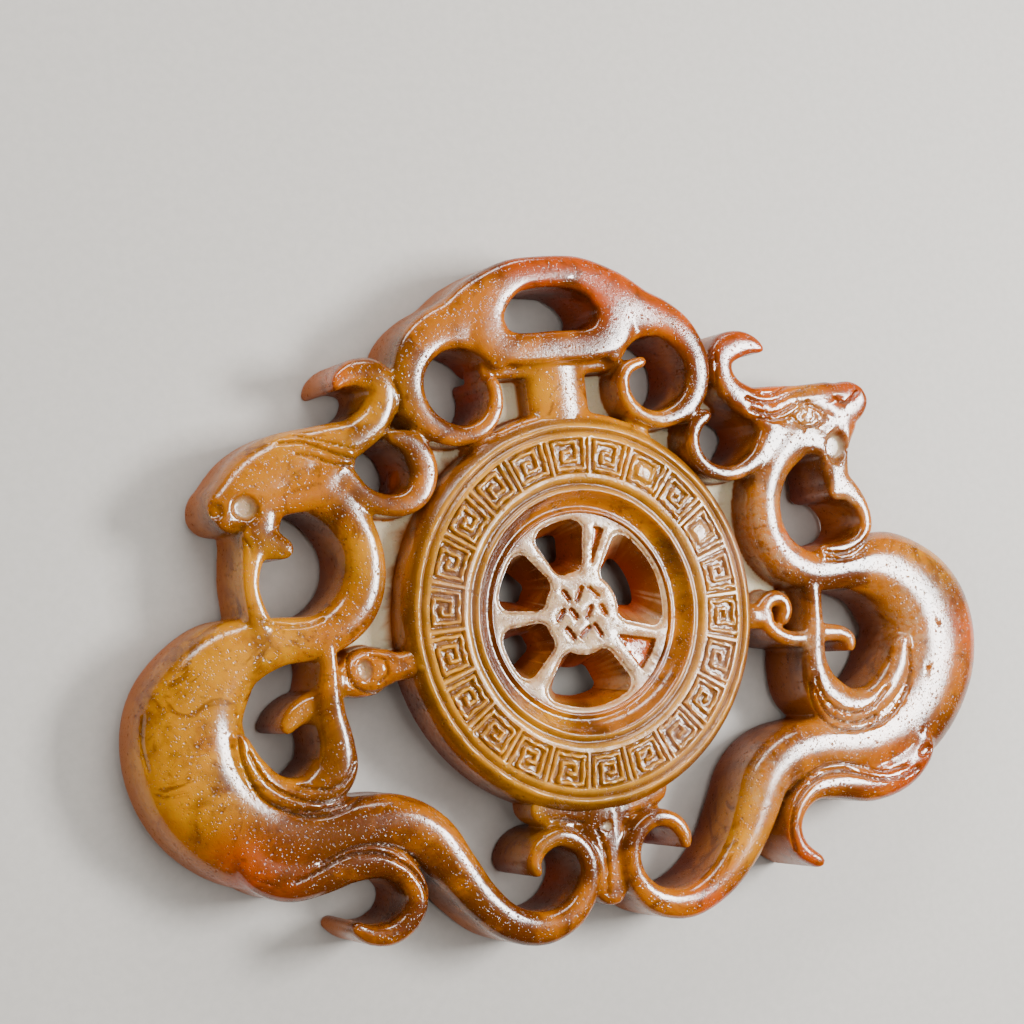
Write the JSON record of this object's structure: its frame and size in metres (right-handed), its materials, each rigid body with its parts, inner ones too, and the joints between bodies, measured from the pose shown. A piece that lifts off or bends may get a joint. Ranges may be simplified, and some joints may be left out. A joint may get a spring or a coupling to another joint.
{
  "type": "carved jade plaque",
  "caption": "Openwork jade plaque: mirrored dragons and a cloud arch around a disc with a key-fret ring and a pierced centre panel.",
  "frame": {"origin": "middle of the plaque's box, on the plane of the flat back that it lies on", "axes": "+X along the plaque's length, to the right as the front is seen; +Y to the cloud arch; +Z out of the carved front"},
  "size_m": [0.1162, 0.0816, 0.0105],
  "materials": {
    "honey_jade": "polished"
  },
  "bodies": {
    "root": {"jade_carving": "honey_jade"}
  },
  "joints": []
}
